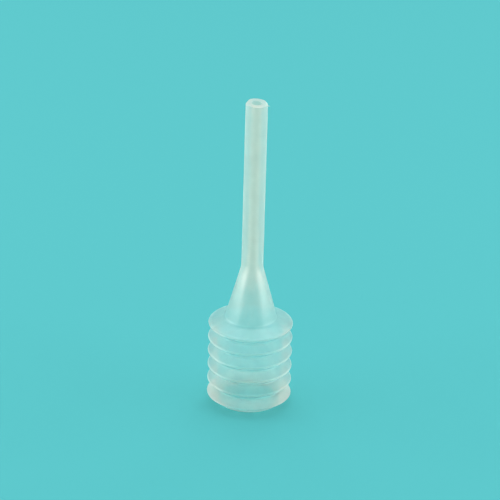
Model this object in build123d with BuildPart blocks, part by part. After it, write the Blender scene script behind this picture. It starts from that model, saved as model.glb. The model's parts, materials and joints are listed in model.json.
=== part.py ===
"""Bellows ejector tip: a soft translucent polyethylene bulb with six crests, closed at its foot, and a long
straight nozzle tube on a cone.

The real object is one hollow moulding that bends and closes at its folds. It is divided here where it
flexes and where its form changes: the closed foot, five folds, the five valleys between the crests, the
shoulder with the top crest, the cone and the tube. Neighbours meet face to face.

Frame: millimetres, +Z up along the nozzle, origin at the middle of the foot, on the surface it stands on.
The mould's parting plane is XZ. Folds and valleys are counted from the foot up.
"""

import os
from math import cos, radians, sin, sqrt, tan

from build123d import *

# ---- driving dimensions: bulb (mm, angles from the horizontal) ----
bulb_radius = 8.05  # outside of a crest
crest_pitch = 2.92
first_crest_z = 1.5
fold_count = 5  # and a sixth crest, at the shoulder
flank_angle = radians(35)
wall = 0.3
crest_round = 0.18  # outside
crest_hollow_round = 0.08  # inside
valley_round = 0.25  # outside
valley_hollow_round = 0.3  # inside
hinge_half_height = 0.3  # half of the band that flexes in a valley

# ---- driving dimensions: closed foot ----
foot_radius = 6.2
foot_edge_round = 0.05
rim_width = 0.9
bottom_rise = 0.35  # domed up, so that the bulb stands on its rim
inner_bottom_rise = 0.45
pinch_off_length = 6.6  # the scar where the mould closed the tube of soft plastic
pinch_off_width = 0.4
pinch_off_stand = 0.14  # in the middle of the dome; towards its ends the scar runs out into the dome
pinch_off_root = 0.14  # how far the scar reaches up into the bottom's wall

# ---- driving dimensions: shoulder, cone and tube ----
shoulder_angle = radians(19.5)
shoulder_edge_radius = 5.9  # where the shoulder hands over to the cone
cone_foot_radius = 5.0
cone_foot_round = 1.0
neck_z = 28.06
neck_round = 5.0
tube_radius = 2.05
bore_radius = 0.925
tube_foot_z = 28.8
drawn_levels = (0.3, 0.6, 0.85)  # shares of the cone's height where its inside is worked out
bore_direction = (0, -1)
inner_foot_direction = (0.15, -1)  # the inside still widens where it reaches the cone's foot
tip_z = 61.5


def corner_reach(rounding, lower_angle, upper_angle):
    """How far the sharp corner between two flanks stands out from its rounded edge."""
    half_sum = (lower_angle + upper_angle) / 2
    half_difference = (lower_angle - upper_angle) / 2
    return rounding * (cos(half_difference) / sin(half_sum) - 1)


def drawn_inner_radius(outer_radius):
    """Inside of a wall drawn from one tube of plastic: every level keeps the tube's area of wall."""
    return sqrt(outer_radius**2 - tube_radius**2 + bore_radius**2)


# ---- corners of the outside, as radii and heights ----
half_pitch = crest_pitch / 2
crest_corner = bulb_radius + corner_reach(crest_round, flank_angle, flank_angle)
valley_corner = crest_corner - half_pitch / tan(flank_angle)
hinge_radius = valley_corner + hinge_half_height / tan(flank_angle)
fold_half_height = half_pitch - hinge_half_height
foot_top_z = first_crest_z - fold_half_height

top_valley_z = first_crest_z + half_pitch + (fold_count - 1) * crest_pitch
top_crest_corner = bulb_radius + corner_reach(crest_round, flank_angle, shoulder_angle)
top_crest_corner_z = top_valley_z + (top_crest_corner - valley_corner) * tan(flank_angle)
shoulder_edge_z = top_crest_corner_z + (top_crest_corner - shoulder_edge_radius) * tan(shoulder_angle)
cone_foot_z = top_crest_corner_z + (top_crest_corner - cone_foot_radius) * tan(shoulder_angle)

# Steps from the outside of the wall to its inside: level at a flank, and square to the shoulder.
through_flank = Vector(-wall / sin(flank_angle), 0)
through_shoulder = Vector(-wall * sin(shoulder_angle), -wall * cos(shoulder_angle))


def skin_band(low_end, bend, high_end, outside_round, inside_round):
    """A ring of the bulb's skin with level ends, made from the (radius, height) corners of its outside."""
    outside = [Vector(*low_end), Vector(*bend), Vector(*high_end)]
    inside = [corner + through_flank for corner in reversed(outside)]
    with BuildPart() as band:
        with BuildSketch(Plane.XZ) as section:
            with BuildLine():
                Polyline(*outside, *inside, close=True)
            make_face()
            fillet(section.vertices().sort_by_distance(outside[1])[0], radius=outside_round)
            fillet(section.vertices().sort_by_distance(inside[1])[0], radius=inside_round)
        revolve(axis=Axis.Z)
    return band


os.makedirs("parts", exist_ok=True)

# ---- closed foot: a standing rim, a domed bottom and the upper half of a valley's outside ----
foot_top = Vector(hinge_radius, foot_top_z)
inner_foot_top = foot_top + through_flank
foot_wall_top_z = foot_top_z - (hinge_radius - foot_radius) * tan(flank_angle)
dome_radius = foot_radius - rim_width
inner_apex_z = foot_top_z + inner_bottom_rise

with BuildPart() as closed_foot:
    with BuildSketch(Plane.XZ) as foot_section:
        with BuildLine():
            Polyline(
                (dome_radius, 0),
                (foot_radius, 0),
                (foot_radius, foot_wall_top_z),
                foot_top,
                inner_foot_top,
            )
            TangentArc((0, inner_apex_z), inner_foot_top, tangent=(1, 0))
            Line((0, inner_apex_z), (0, bottom_rise))
            TangentArc((0, bottom_rise), (dome_radius, 0), tangent=(1, 0))
        make_face()
        fillet(foot_section.vertices().sort_by_distance(Vector(foot_radius, 0))[0], radius=foot_edge_round)
    revolve(axis=Axis.Z)
    with BuildSketch(Plane.XY.offset(bottom_rise - pinch_off_stand)):
        Rectangle(pinch_off_length, pinch_off_width)
    extrude(amount=pinch_off_stand + pinch_off_root)
closed_foot.part.label = "closed_foot"
export_step(closed_foot.part, "parts/closed_foot.step")

# ---- folds: the skin out to a crest and back ----
for index in range(fold_count):
    crest_z = first_crest_z + index * crest_pitch
    fold = skin_band(
        (hinge_radius, crest_z - fold_half_height),
        (crest_corner, crest_z),
        (hinge_radius, crest_z + fold_half_height),
        crest_round,
        crest_hollow_round,
    )
    fold.part.label = f"fold_{index + 1}"
    export_step(fold.part, f"parts/fold_{index + 1}.step")

# ---- valleys: the bands that flex between two crests ----
for index in range(fold_count):
    valley_z = first_crest_z + half_pitch + index * crest_pitch
    valley = skin_band(
        (hinge_radius, valley_z - hinge_half_height),
        (valley_corner, valley_z),
        (hinge_radius, valley_z + hinge_half_height),
        valley_round,
        valley_hollow_round,
    )
    valley.part.label = f"valley_{index + 1}"
    export_step(valley.part, f"parts/valley_{index + 1}.step")

# ---- shoulder: the top crest and the slope up to the cone ----
shoulder_foot = Vector(hinge_radius, top_valley_z + hinge_half_height)
top_crest = Vector(top_crest_corner, top_crest_corner_z)
shoulder_edge = Vector(shoulder_edge_radius, shoulder_edge_z)
inner_shoulder_edge = shoulder_edge + through_shoulder
crest_lean = (flank_angle - shoulder_angle) / 2
crest_depth = wall / sin((flank_angle + shoulder_angle) / 2)
top_crest_hollow = top_crest - Vector(crest_depth * cos(crest_lean), crest_depth * sin(crest_lean))
with BuildPart() as shoulder:
    with BuildSketch(Plane.XZ) as shoulder_section:
        with BuildLine():
            Polyline(
                shoulder_foot,
                top_crest,
                shoulder_edge,
                inner_shoulder_edge,
                top_crest_hollow,
                shoulder_foot + through_flank,
                close=True,
            )
        make_face()
        fillet(shoulder_section.vertices().sort_by_distance(top_crest)[0], radius=crest_round)
        fillet(shoulder_section.vertices().sort_by_distance(top_crest_hollow)[0], radius=crest_hollow_round)
    revolve(axis=Axis.Z)
shoulder.part.label = "shoulder"
export_step(shoulder.part, "parts/shoulder.step")

# ---- cone: from the shoulder's edge to the neck, its wall thickening as it narrows ----
cone_height = neck_z - cone_foot_z
inner_cone_foot_radius = drawn_inner_radius(cone_foot_radius)
inner_cone_inset = inner_shoulder_edge.X - inner_cone_foot_radius
inner_cone_foot_z = inner_shoulder_edge.Y + inner_cone_inset * tan(shoulder_angle)
inner_cone_points = [(inner_cone_foot_radius, inner_cone_foot_z)]
for share in drawn_levels:
    level_radius = cone_foot_radius + share * (tube_radius - cone_foot_radius)
    inner_cone_points.append((drawn_inner_radius(level_radius), cone_foot_z + share * cone_height))
inner_cone_points.append((bore_radius, tube_foot_z))
with BuildPart() as nozzle_cone:
    with BuildSketch(Plane.XZ) as cone_section:
        with BuildLine():
            Polyline(
                inner_cone_points[0],
                inner_shoulder_edge,
                shoulder_edge,
                (cone_foot_radius, cone_foot_z),
                (tube_radius, neck_z),
                (tube_radius, tube_foot_z),
                (bore_radius, tube_foot_z),
            )
            Spline(*reversed(inner_cone_points), tangents=[bore_direction, inner_foot_direction])
        make_face()
        cone_foot = Vector(cone_foot_radius, cone_foot_z)
        fillet(cone_section.vertices().sort_by_distance(cone_foot)[0], radius=cone_foot_round)
        neck = Vector(tube_radius, neck_z)
        fillet(cone_section.vertices().sort_by_distance(neck)[0], radius=neck_round)
    revolve(axis=Axis.Z)
nozzle_cone.part.label = "nozzle_cone"
export_step(nozzle_cone.part, "parts/nozzle_cone.step")

# ---- tube: straight, cut square at the tip ----
with BuildPart() as nozzle_tube:
    with BuildSketch(Plane.XY.offset(tube_foot_z)):
        Circle(tube_radius)
        Circle(bore_radius, mode=Mode.SUBTRACT)
    extrude(amount=tip_z - tube_foot_z)
nozzle_tube.part.label = "nozzle_tube"
export_step(nozzle_tube.part, "parts/nozzle_tube.step")
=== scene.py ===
"""Looks of the bellows ejector tip: one moulding of milky translucent polyethylene, standing on its foot.

Profiles are chains of (radius, height) points in millimetres. Every piece is a profile turned about the
nozzle's axis and then made as uneven as a moulding is; turned() writes its mesh in metres.
"""

import json
from math import cos, exp, pi, radians, sin, sqrt, tan

import bpy
from mathutils import Matrix, Vector, noise


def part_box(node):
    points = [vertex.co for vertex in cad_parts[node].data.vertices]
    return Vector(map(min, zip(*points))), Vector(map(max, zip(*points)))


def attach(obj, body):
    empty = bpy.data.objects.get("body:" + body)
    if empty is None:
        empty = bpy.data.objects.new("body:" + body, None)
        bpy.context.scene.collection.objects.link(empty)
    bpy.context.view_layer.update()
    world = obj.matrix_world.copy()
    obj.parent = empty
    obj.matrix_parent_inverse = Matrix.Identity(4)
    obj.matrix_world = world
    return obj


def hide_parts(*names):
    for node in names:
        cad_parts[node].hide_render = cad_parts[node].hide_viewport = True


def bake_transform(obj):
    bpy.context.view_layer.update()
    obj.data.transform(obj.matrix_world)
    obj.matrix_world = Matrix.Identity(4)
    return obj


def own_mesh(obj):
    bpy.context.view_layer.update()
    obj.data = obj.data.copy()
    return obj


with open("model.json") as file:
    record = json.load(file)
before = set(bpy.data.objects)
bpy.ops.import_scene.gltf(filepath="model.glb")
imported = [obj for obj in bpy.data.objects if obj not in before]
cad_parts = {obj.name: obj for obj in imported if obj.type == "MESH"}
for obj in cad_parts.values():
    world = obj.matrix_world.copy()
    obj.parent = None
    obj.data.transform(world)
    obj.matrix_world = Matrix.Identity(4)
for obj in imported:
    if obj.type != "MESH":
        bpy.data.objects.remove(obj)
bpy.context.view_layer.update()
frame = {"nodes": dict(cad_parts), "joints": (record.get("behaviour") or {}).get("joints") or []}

MM = 0.001


def low_and_high(node):
    low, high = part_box(node)
    return low.z / MM, high.z / MM


# ---- sizes that the frame gives ----
FOLD_COUNT = sum(1 for node in frame["nodes"] if node.startswith("fold_"))
FOLD_LOW, FOLD_HIGH = low_and_high("fold_1")
PITCH = low_and_high("fold_2")[0] - FOLD_LOW
FIRST_CREST_Z = (FOLD_LOW + FOLD_HIGH) / 2
FOLD_HALF = (FOLD_HIGH - FOLD_LOW) / 2
HINGE_HALF = PITCH / 2 - FOLD_HALF
BULB_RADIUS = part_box("fold_1")[1].x / MM
HINGE_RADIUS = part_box("valley_1")[1].x / MM
TUBE_FOOT_Z, TIP_Z = low_and_high("nozzle_tube")
TUBE_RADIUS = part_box("nozzle_tube")[1].x / MM
TOP_VALLEY_Z = FIRST_CREST_Z + (FOLD_COUNT - 0.5) * PITCH

# ---- sizes inside the nodes, as designed ----
FLANK = radians(35)
SHOULDER = radians(19.5)
WALL = 0.3
CREST_ROUND = 0.18
CREST_HOLLOW_ROUND = 0.08
VALLEY_ROUND = 0.25
VALLEY_HOLLOW_ROUND = 0.3
BORE_RADIUS = 0.925
CONE_FOOT_RADIUS = 5.0
CONE_FOOT_ROUND = 1.0
CONE_HOLLOW_ROUND = 0.8
CONE_LEVELS = 10  # steps of height in which its wall thickens
NECK_Z = 28.06
NECK_ROUND = 5.0
FOOT_RADIUS = 6.2
FOOT_EDGE_ROUND = 0.05
FOOT_WALL_ROUND = 0.1
RIM_WIDTH = 0.9
BOTTOM_RISE = 0.35
INNER_BOTTOM_RISE = 0.45
PINCH_OFF_LENGTH = 6.6
PINCH_OFF_WIDTH = 0.4
PINCH_OFF_STAND = 0.14
PINCH_OFF_SIDE = 0.16  # how wide its sides fall
PINCH_OFF_END = 0.3  # how long its ends run out

# ---- how uneven the moulding is ----
SLACK = 0.05  # the mean surface lies this far inside the design, so that no bump leaves its box
WOBBLE = 0.02  # the slow shift of the whole form
WOBBLE_SPAN = 7
WOBBLE_UP = 0.6  # share of it that goes up and down
WOBBLE_UP_SPAN = 5
RIPPLE = 0.002
RIPPLE_SPAN = 0.9
FADE = 3  # over this distance the rise and fall die out at the foot and the tip, and the ripple at the axis
RIDGE_HEIGHT = 0.025  # the parting line
RIDGE_WIDTH = 0.06
WHISKER = 0.42  # the flash beside the tip
WHISKER_DROP = 0.42
WHISKER_WIDTH = 0.12

# ---- the knife's cut at the tip ----
CUT_REACH = 1.2  # the length of tube that takes part in its unevenness
CUT_LOW = 0.03
CUT_TILT = 0.12  # towards +X, as a slope
CUT_TILT_FRONT = 0.05
CHIP = 0.35  # at -X
CHIP_X = 1.2  # where it starts
CORNER = 0.12  # at +X
CORNER_X = 1.4
NICK = 0.03
NICK_SPAN = 0.5

# ---- how clouded the plastic is, from -1 for clear to 1 for milky; the thin skin's outside is at 0 ----
CLOUD = "cloud"  # the mesh attribute that holds it
CREST = 0.5  # where the wall is solid out to the edge
CREST_EDGE = 0.03  # the last of the edge, all of it clouded
DRAWN = 0.9  # the thick wall of the tube
DRAWN_POWER = 3  # how soon the cone's wall clouds as it thickens
POOLED = 0.55  # the lowest fold and the rim that the bulb stands on
POOLED_LIFT = 0.6  # how far above the lowest fold's crest and top it starts and ends to thin out
RIM_EDGE = 0.2  # the outside of the rim, all of it clouded
BOTTOM = -0.8  # the middle of the bottom
INSIDE = -0.6  # the thin skin's inside

# ---- the plastic's material, from thin skin to fully clouded ----
ALPHA_THIN = 0.35
ALPHA_CLOUD = 0.4
ALPHA_EDGE = 0.25  # more where a clouded wall is seen along its face
EDGE_THIN = 0.2  # the share of that on the thin skin
EDGE_POWER = 3
ALPHA_PATCHES = 0.04
THROUGH_THIN = 0.9  # transmission
THROUGH_CLOUD = 0.65
TINT_THIN = (1.0, 0.96, 0.87, 1)
TINT_CLOUD = (1.0, 0.92, 0.83, 1)
TINT_SHARE = 0.85  # of the way to TINT_CLOUD, by the cloud; patches give the rest
TINT_PATCHES = 0.15
ROUGHNESS = 0.5
ROUGHNESS_PATCHES = 0.05
IOR = 1.12  # far below the real 1.51, so that the many thin walls hardly bend the view
COAT = 0.85
COAT_IOR = 1.9
COAT_ROUGHNESS = 0.3
PATCH_SCALE = 260
STREAK_SCALE = 1500
STREAK_STRETCH = (1, 1, 0.06)  # drawn out along the axis
STREAK_SHARE = 0.7  # of the bump
GRAIN_SCALE = 5200
GRAIN_SHARE = 0.3
BUMP = 0.1
BUMP_DISTANCE = 0.00002

# ---- floor, light and camera, in metres and degrees ----
FLOOR_SIZE = 3
FLOOR_Z = -0.00003
FLOOR_COLOUR = (0.0485, 0.382, 0.4, 1)
FLOOR_ROUGHNESS = 0.9
LAMP_AIM = (0, 0, 0.03)
SIDE_AZIMUTH = 88
WORLD = 0.52
BOUNCES = 32  # for the many walls in a line of sight


# ---- profiles ----
def rounded(corners, rounds, steps=7):
    """The chain through these corners, with an arc at each inner one."""
    points = [Vector(corners[0])]
    for before, corner, after, rounding in zip(corners, corners[1:], corners[2:], rounds):
        corner = Vector(corner)
        back = (Vector(before) - corner).normalized()
        ahead = (Vector(after) - corner).normalized()
        half = back.angle(ahead) / 2
        centre = corner + (back + ahead).normalized() * rounding / sin(half)
        start = corner + back * rounding / tan(half) - centre
        turn = (pi - 2 * half) * (1 if back.cross(ahead) < 0 else -1)
        for step in range(steps + 1):
            points.append(centre + Matrix.Rotation(turn * step / steps, 2) @ start)
    points.append(Vector(corners[-1]))
    return points


def finely(points, longest):
    """The same chain with its long runs divided."""
    chain = [points[0]]
    for start, end in zip(points, points[1:]):
        count = max(1, round((end - start).length / longest))
        chain += [start.lerp(end, step / count) for step in range(1, count + 1)]
    return chain


CREST_CORNER = BULB_RADIUS + CREST_ROUND * (1 / sin(FLANK) - 1)
VALLEY_CORNER = CREST_CORNER - PITCH / 2 / tan(FLANK)
THROUGH_FLANK = Vector((-WALL / sin(FLANK), 0))  # level, from the outside of the skin to its inside


def band_profile(middle_z, half_height, corner_radius, outer_round, inner_round):
    """Outside and inside of one fold or valley, both from low to high, with level ends."""
    low = Vector((HINGE_RADIUS, middle_z - half_height))
    high = Vector((HINGE_RADIUS, middle_z + half_height))
    corners = [low, Vector((corner_radius, middle_z)), high]
    hollow_corners = [corner + THROUGH_FLANK for corner in corners]
    return rounded(corners, [outer_round]), rounded(hollow_corners, [inner_round])


def fold_profile(crest_z):
    return band_profile(crest_z, FOLD_HALF, CREST_CORNER, CREST_ROUND, CREST_HOLLOW_ROUND)


def valley_profile(valley_z):
    return band_profile(valley_z, HINGE_HALF, VALLEY_CORNER, VALLEY_ROUND, VALLEY_HOLLOW_ROUND)


def dome(radius, foot_z, rise, steps=18):
    """From the middle of a shallow dome out to just before its edge."""
    shares = [step / steps for step in range(steps)]
    return [Vector((radius * s, foot_z + rise * (1 - s * s))) for s in shares]


def foot_profile():
    """Outside and inside of the closed foot, both from the middle to the seam."""
    foot_top = Vector((HINGE_RADIUS, FOLD_LOW))
    wall_top = Vector((FOOT_RADIUS, FOLD_LOW - (HINGE_RADIUS - FOOT_RADIUS) * tan(FLANK)))
    rim_inside = FOOT_RADIUS - RIM_WIDTH
    corners = [(rim_inside, 0), (FOOT_RADIUS, 0), wall_top, foot_top]
    outside = dome(rim_inside, 0, BOTTOM_RISE) + rounded(corners, [FOOT_EDGE_ROUND, FOOT_WALL_ROUND])
    inner_top = foot_top + THROUGH_FLANK
    inside = dome(inner_top.x, inner_top.y, INNER_BOTTOM_RISE) + [inner_top]
    return outside, inside


def drawn_inner_radius(outer_radius):
    """Inside of a wall drawn from one tube of plastic: every level keeps the tube's area of wall."""
    return sqrt(outer_radius**2 - TUBE_RADIUS**2 + BORE_RADIUS**2)


def nozzle_profile():
    """Shoulder, cone and tube, outside and inside, both from the seam up to the tip."""
    half_corner = (FLANK + SHOULDER) / 2
    lean = (FLANK - SHOULDER) / 2
    seam = Vector((HINGE_RADIUS, TOP_VALLEY_Z + HINGE_HALF))
    crest = Vector((BULB_RADIUS + CREST_ROUND * (cos(lean) / sin(half_corner) - 1), 0))
    crest.y = TOP_VALLEY_Z + (crest.x - VALLEY_CORNER) * tan(FLANK)
    cone_foot = Vector((CONE_FOOT_RADIUS, crest.y + (crest.x - CONE_FOOT_RADIUS) * tan(SHOULDER)))
    neck = Vector((TUBE_RADIUS, NECK_Z))
    tip = Vector((TUBE_RADIUS, TIP_Z))
    outside = rounded([seam, crest, cone_foot, neck, tip], [CREST_ROUND, CONE_FOOT_ROUND, NECK_ROUND])

    crest_through = WALL / sin(half_corner)
    hollow = crest + Vector((-crest_through * cos(lean), -crest_through * sin(lean)))
    inner_foot_radius = drawn_inner_radius(CONE_FOOT_RADIUS)
    inner_foot = Vector((inner_foot_radius, hollow.y + (hollow.x - inner_foot_radius) * tan(SHOULDER)))
    rise = []
    for step in range(1, CONE_LEVELS):
        level = cone_foot.lerp(neck, step / CONE_LEVELS)
        rise.append(Vector((drawn_inner_radius(level.x), level.y)))
    corners = [seam + THROUGH_FLANK, hollow, inner_foot, rise[0]]
    inside = rounded(corners, [CREST_HOLLOW_ROUND, CONE_HOLLOW_ROUND]) + rise[1:]
    inside += [Vector((BORE_RADIUS, TUBE_FOOT_Z)), Vector((BORE_RADIUS, TIP_Z))]
    return outside, inside


# ---- how one moulding differs from the design ----
def smooth(value, low, high):
    """0 below low, 1 above high, and a soft rise between them."""
    share = min(1.0, max(0.0, (value - low) / (high - low)))
    return share * share * (3 - 2 * share)


def wave(place, span, seed):
    """Soft noise with humps about one span apart. Each use has its own seed."""
    return noise.noise(Vector((place.x, place.y, place.z + seed)) / span)


def uneven(place):
    """Where a point of the design lies on this moulding: slightly oval, bowed and rippled."""
    radius = Vector((place.x, place.y)).length
    share = 1 - SLACK / BULB_RADIUS
    aside, ahead = wave(place, WOBBLE_SPAN, 0), wave(place, WOBBLE_SPAN, 40)
    shift = Vector((aside, ahead, WOBBLE_UP * wave(place, WOBBLE_UP_SPAN, 80))) * WOBBLE
    shift.z *= min(1, place.z / FADE) * min(1, (TIP_Z - place.z) / FADE)
    ripple = RIPPLE * wave(place, RIPPLE_SPAN, 120) * min(1, radius / FADE)
    outward = Vector((place.x, place.y, 0)) / max(radius, 0.001)  # nothing at the axis
    return Vector((place.x * share, place.y * share, place.z)) + shift + outward * ripple


def swell(distance, half_width, edge):
    """1 in the middle of a raised strip, falling softly to 0 over its edge."""
    return smooth(-abs(distance), -half_width - edge / 2, edge / 2 - half_width)


def ridge(place):
    """How far the outside stands out: the parting line, with a whisker of flash beside the tip, and under
    the foot the scar where the mould pinched the plastic off."""
    if place.z <= BOTTOM_RISE:
        stand = max(0.0, place.z - BOTTOM_RISE + PINCH_OFF_STAND)
        across = swell(place.y, PINCH_OFF_WIDTH / 2, PINCH_OFF_SIDE)
        return stand * across * swell(place.x, PINCH_OFF_LENGTH / 2, PINCH_OFF_END)
    across = exp(-((place.y / RIDGE_WIDTH) ** 2))
    whisker = 0.0
    if place.x > 0:
        whisker = WHISKER * exp(-(((place.z - TIP_Z + WHISKER_DROP) / WHISKER_WIDTH) ** 2))
    return across * (RIDGE_HEIGHT + whisker)


def cut_drop(place):
    """How far the knife's uneven cut lies below a square end."""
    reach = max(0.0, 1 - (TIP_Z - place.z) / CUT_REACH)
    slope = CUT_TILT * (place.x + TUBE_RADIUS) / 2 + CUT_TILT_FRONT * (TUBE_RADIUS - place.y) / 2
    chip = CHIP * smooth(-place.x, CHIP_X, TUBE_RADIUS)
    corner = CORNER * smooth(place.x, CORNER_X, TUBE_RADIUS)
    nick = NICK * wave(place, NICK_SPAN, 200)
    return reach * (slope + chip + corner + nick + CUT_LOW)


def cloud(place, outside):
    """How clouded the plastic is at a point of the design. The thin skin is at 0 outside and INSIDE inside.
    Crests, the lowest fold, the rim and thick walls are cloudier, and the middle of the bottom is clearer."""
    radius = Vector((place.x, place.y)).length
    if place.z > TOP_VALLEY_Z + 2 * FOLD_HALF and radius < CONE_FOOT_RADIUS:  # cone and tube
        span = TUBE_RADIUS**2 - BORE_RADIUS**2
        wall = radius - sqrt(max(0.0, radius**2 - span)) if outside else sqrt(radius**2 + span) - radius
        thickened = (wall - WALL) / (TUBE_RADIUS - BORE_RADIUS - WALL)
        thinness = 1 - min(1.0, max(0.0, thickened))
        drawn = DRAWN * (1 - thinness**DRAWN_POWER)
        return drawn if outside else INSIDE * (1 - drawn) + drawn
    if not outside:
        return INSIDE
    if place.z <= BOTTOM_RISE:
        return BOTTOM + (POOLED - BOTTOM) * smooth(radius, FOOT_RADIUS - RIM_WIDTH, FOOT_RADIUS - RIM_EDGE)
    crest = CREST * smooth(radius, BULB_RADIUS - CREST_ROUND, BULB_RADIUS - CREST_EDGE)
    pooled = POOLED * (1 - smooth(place.z, FIRST_CREST_Z + POOLED_LIFT, FOLD_HIGH + POOLED_LIFT))
    return max(crest, pooled)


# ---- materials ----
def new_material(name):
    """A material, its node tree and its shader."""
    material = bpy.data.materials.new(name)
    material.use_nodes = True
    return material, material.node_tree, material.node_tree.nodes["Principled BSDF"]


def noise_texture(tree, place, scale, detail, stretch=(1, 1, 1)):
    mapping = tree.nodes.new("ShaderNodeMapping")
    mapping.inputs["Scale"].default_value = stretch
    tree.links.new(place, mapping.inputs["Vector"])
    texture = tree.nodes.new("ShaderNodeTexNoise")
    texture.inputs["Scale"].default_value = scale
    texture.inputs["Detail"].default_value = detail
    tree.links.new(mapping.outputs["Vector"], texture.inputs["Vector"])
    return texture.outputs["Fac"]


def ranged(tree, value, low, high, start=0.3, end=0.7):
    """low to high while the value goes from start to end, which for a noise texture is most of its run."""
    ranging = tree.nodes.new("ShaderNodeMapRange")
    ranging.inputs["From Min"].default_value = start
    ranging.inputs["From Max"].default_value = end
    ranging.inputs["To Min"].default_value = low
    ranging.inputs["To Max"].default_value = high
    tree.links.new(value, ranging.inputs["Value"])
    return ranging.outputs["Result"]


def math_of(tree, operation, first, second):
    working = tree.nodes.new("ShaderNodeMath")
    working.operation = operation
    tree.links.new(first, working.inputs[0])
    tree.links.new(second, working.inputs[1])
    return working.outputs["Value"]


def sum_of(tree, *values):
    """The values added up and kept between 0 and 1."""
    total = values[0]
    for value in values[1:]:
        total = math_of(tree, "ADD", total, value)
        total.node.use_clamp = True
    return total


def raised(tree, value, power):
    raising = tree.nodes.new("ShaderNodeMath")
    raising.operation = "POWER"
    tree.links.new(value, raising.inputs[0])
    raising.inputs[1].default_value = power
    return raising.outputs["Value"]


def polyethylene():
    """Milky translucent plastic: clouded, drawn along the axis, and a little matt."""
    material, tree, shader = new_material("milky_polyethylene")
    place = tree.nodes.new("ShaderNodeTexCoord").outputs["Object"]
    patches = noise_texture(tree, place, PATCH_SCALE, detail=3)
    streaks = noise_texture(tree, place, STREAK_SCALE, detail=2, stretch=STREAK_STRETCH)
    grain = noise_texture(tree, place, GRAIN_SCALE, detail=2)
    attribute = tree.nodes.new("ShaderNodeAttribute")
    attribute.attribute_name = CLOUD
    clouded = attribute.outputs["Fac"]
    edge = tree.nodes.new("ShaderNodeLayerWeight")
    edge.inputs["Blend"].default_value = 0.5

    tint = tree.nodes.new("ShaderNodeMix")
    tint.data_type = "RGBA"
    tint.inputs["A"].default_value = TINT_THIN
    tint.inputs["B"].default_value = TINT_CLOUD
    clouding = ranged(tree, clouded, 0, TINT_SHARE, start=0, end=1)
    patchy = ranged(tree, patches, 0, TINT_PATCHES)
    tree.links.new(sum_of(tree, clouding, patchy), tint.inputs["Factor"])
    tree.links.new(tint.outputs["Result"], shader.inputs["Base Color"])
    roughness = ranged(tree, patches, ROUGHNESS - ROUGHNESS_PATCHES, ROUGHNESS + ROUGHNESS_PATCHES)
    tree.links.new(roughness, shader.inputs["Roughness"])

    thin = ranged(tree, patches, ALPHA_THIN - ALPHA_PATCHES, ALPHA_THIN + ALPHA_PATCHES)
    solid = ranged(tree, clouded, -ALPHA_CLOUD, ALPHA_CLOUD, start=-1, end=1)
    facing = raised(tree, edge.outputs["Facing"], EDGE_POWER)
    grazing = ranged(tree, facing, 0, ALPHA_EDGE, start=0, end=1)
    depth = ranged(tree, clouded, EDGE_THIN, 1, start=0, end=1)
    deep = math_of(tree, "MULTIPLY", grazing, depth)
    tree.links.new(sum_of(tree, thin, solid, deep), shader.inputs["Alpha"])
    through = ranged(tree, clouded, THROUGH_THIN, THROUGH_CLOUD, start=0, end=1)
    tree.links.new(through, shader.inputs["Transmission Weight"])

    streak_height = ranged(tree, streaks, 0, STREAK_SHARE)
    grain_height = ranged(tree, grain, 0, GRAIN_SHARE)
    bump = tree.nodes.new("ShaderNodeBump")
    bump.inputs["Strength"].default_value = BUMP
    bump.inputs["Distance"].default_value = BUMP_DISTANCE
    tree.links.new(math_of(tree, "ADD", streak_height, grain_height), bump.inputs["Height"])
    tree.links.new(bump.outputs["Normal"], shader.inputs["Normal"])

    shader.inputs["IOR"].default_value = IOR
    shader.inputs["Coat Weight"].default_value = COAT
    shader.inputs["Coat Roughness"].default_value = COAT_ROUGHNESS
    shader.inputs["Coat IOR"].default_value = COAT_IOR
    return material


def open_seam():
    """The face inside the skin where two pieces of the one moulding meet: nothing is there to see."""
    material, _, shader = new_material("open_seam")
    shader.inputs["Alpha"].default_value = 0
    return material


MATERIALS = [polyethylene(), open_seam()]  # a mesh's faces name them as 0 and 1


# ---- meshes ----
def column_angles(even_count=150, near=(0.25, 0.5, 0.8, 1.2, 1.7, 2.2, 2.7, 3.4)):
    """Angles about the axis, closer together at the two parting lines."""
    step = 360 / even_count
    angles = {round(index * step, 4) for index in range(even_count)}
    for parting in (0, 180):
        for offset in near:
            angles.add((parting + offset) % 360)
            angles.add((parting - offset) % 360)
    return [radians(angle) for angle in sorted(angles)]


COLUMNS = column_angles()
SHARP_ANGLE = radians(50)  # an edge that turns further isn't shaded as round


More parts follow.
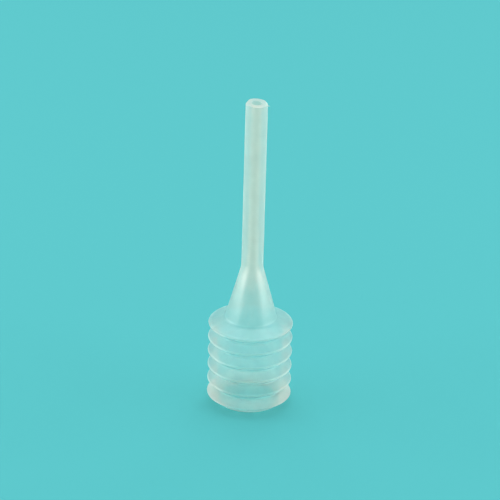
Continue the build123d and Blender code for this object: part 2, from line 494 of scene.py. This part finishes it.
def turned(name, chain, skin_count, seams, closed):
    """A mesh without holes: the chain turned about the axis. Its first skin_count points are the outside. seams
    are the runs where the piece meets its neighbour, and they take the second material. closed says that the
    chain's end joins its start; otherwise both lie on the axis."""
    size = len(chain)
    tangents = [(chain[min(i + 1, size - 1)] - chain[max(i - 1, 0)]).normalized() for i in range(size)]
    vertices, clouds, rings = [], [], []
    for index, (point, tangent) in enumerate(zip(chain, tangents)):
        ring = []
        for angle in COLUMNS if point.x > 0 else COLUMNS[:1]:  # a point on the axis is a ring of one
            place = Vector((point.x * cos(angle), point.x * sin(angle), point.y))
            rough = uneven(place)
            if index < skin_count:
                outward = Vector((tangent.y * cos(angle), tangent.y * sin(angle), -tangent.x))
                rough += outward * ridge(place)
            if place.z > TIP_Z - CUT_REACH:
                rough.z -= cut_drop(place)
            ring.append(len(vertices))
            vertices.append(rough * MM)
            clouds.append(cloud(place, index < skin_count))
        rings.append(ring)
    faces, kinds = [], []
    for run in range(size if closed else size - 1):
        lower, upper = rings[run], rings[(run + 1) % size]
        for column in range(len(COLUMNS)):
            after = (column + 1) % len(COLUMNS)
            corners = [lower[column % len(lower)], lower[after % len(lower)]]
            corners += [upper[after % len(upper)], upper[column % len(upper)]]
            faces.append(list(dict.fromkeys(corners)))  # three corners beside the axis
            kinds.append(1 if run in seams else 0)
    mesh = bpy.data.meshes.new(name)
    mesh.from_pydata(vertices, [], faces)
    for material in MATERIALS:
        mesh.materials.append(material)
    mesh.polygons.foreach_set("material_index", kinds)
    mesh.polygons.foreach_set("use_smooth", [True] * len(faces))
    mesh.attributes.new(CLOUD, "FLOAT", "POINT").data.foreach_set("value", clouds)
    mesh.update()
    mesh.set_sharp_from_angle(angle=SHARP_ANGLE)
    piece = bpy.data.objects.new(name, mesh)
    bpy.context.scene.collection.objects.link(piece)
    return piece


def skin_piece(name, profile):
    outside = finely(profile[0], longest=0.22)
    inside = finely(profile[1], longest=0.25)
    chain = outside + inside[::-1]
    seams = {len(outside) - 1, len(chain) - 1}
    return turned(name, chain, len(outside), seams, closed=True)


def foot_piece():
    outside, inside = foot_profile()
    outside = finely(outside, longest=0.3)
    inside = finely(inside, longest=0.35)
    return turned("foot_moulding", outside + inside[::-1], len(outside), {len(outside) - 1}, closed=False)


def nozzle_piece():
    """The end of the tube has closer rings, for the knife's cut and the whisker."""
    outside, inside = nozzle_profile()
    ring_gap = 0.1
    fine_start = Vector((TUBE_RADIUS, TIP_Z - CUT_REACH))
    plain_end = Vector((TUBE_RADIUS, TIP_Z - CUT_REACH - ring_gap))
    plain = finely(outside[:-1] + [plain_end], longest=0.7)
    outside = plain + finely([fine_start, outside[-1]], longest=0.08)
    chain = outside + finely(inside, longest=0.8)[::-1]
    return turned("nozzle_moulding", chain, len(outside), {len(chain) - 1}, closed=True)


# ---- pieces: the foot, the nozzle and the folds on their bodies; the valleys stay where they are made ----
lean_joints = [j for j in frame["joints"] if j["type"] == "hinge"]

foot = foot_piece()
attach(foot, "foot")
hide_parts("closed_foot")

nozzle = nozzle_piece()
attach(nozzle, "nozzle")
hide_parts("shoulder", "nozzle_cone", "nozzle_tube")

for number in range(1, FOLD_COUNT + 1):
    crest_z = FIRST_CREST_Z + (number - 1) * PITCH
    fold = skin_piece(f"fold_{number}_moulding", fold_profile(crest_z))
    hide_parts(f"fold_{number}")
    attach(fold, f"fold_{number}")
    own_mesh(fold)

for number, joint in enumerate(lean_joints, 1):
    valley_z = FIRST_CREST_Z + (number - 0.5) * PITCH
    valley = skin_piece(f"valley_{number}_moulding", valley_profile(valley_z))
    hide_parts(f"valley_{number}")
    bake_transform(valley)


# ---- floor, light and camera ----
def drape():
    """A plain pale aqua cloth, which gives the plastic its cast."""
    bpy.ops.mesh.primitive_plane_add(size=FLOOR_SIZE, location=(0, 0, FLOOR_Z))
    cloth = bpy.context.object
    cloth.name = "floor"
    material, _, shader = new_material("pale_aqua_cloth")
    shader.inputs["Base Color"].default_value = FLOOR_COLOUR
    shader.inputs["Roughness"].default_value = FLOOR_ROUGHNESS
    cloth.data.materials.append(material)


def softbox(name, azimuth, elevation, distance, width, height, power):
    """A rectangular lamp that faces the object. Azimuth runs from the camera's side towards +X."""
    data = bpy.data.lights.new(name, "AREA")
    data.shape = "RECTANGLE"
    data.size = width
    data.size_y = height
    data.energy = power
    lamp = bpy.data.objects.new(name, data)
    bpy.context.scene.collection.objects.link(lamp)
    a, e = radians(azimuth), radians(elevation)
    aim = Vector(LAMP_AIM)
    lamp.location = aim + distance * Vector((sin(a) * cos(e), -cos(a) * cos(e), sin(e)))
    lamp.rotation_euler = (aim - lamp.location).to_track_quat("-Z", "Y").to_euler()


def camera(elevation, distance, roll, target, lens):
    """The photograph's view, from the front and above. Roll turns it about its line of sight."""
    data = bpy.data.cameras.new("camera")
    data.lens = lens
    data.sensor_width = 36
    eye = bpy.data.objects.new("camera", data)
    bpy.context.scene.collection.objects.link(eye)
    e = radians(elevation)
    away = Vector((0, -cos(e), sin(e)))
    eye.location = Vector(target) + distance * away
    rolled = Matrix.Rotation(radians(roll), 3, "Z").to_quaternion()
    eye.rotation_euler = (away.to_track_quat("Z", "Y") @ rolled).to_euler()
    bpy.context.scene.camera = eye


drape()
for name, azimuth in (("left_softbox", -SIDE_AZIMUTH), ("right_softbox", SIDE_AZIMUTH)):
    softbox(name, azimuth, elevation=15, distance=0.6, width=0.7, height=0.3, power=3.4)
softbox("top_softbox", azimuth=180, elevation=65, distance=1.5, width=1.2, height=1.2, power=15)
world = bpy.data.worlds.new("studio")
world.use_nodes = True
world.node_tree.nodes["Background"].inputs["Color"].default_value = (1, 1, 1, 1)
world.node_tree.nodes["Background"].inputs["Strength"].default_value = WORLD
bpy.context.scene.world = world
bpy.context.scene.view_settings.view_transform = "Standard"
camera(elevation=25.8, distance=0.6193, roll=1.6, target=(-0.00051, 0, 0.0313), lens=237.6)
bpy.context.scene.cycles.max_bounces = BOUNCES
bpy.context.scene.cycles.transmission_bounces = BOUNCES
bpy.context.scene.cycles.transparent_max_bounces = BOUNCES
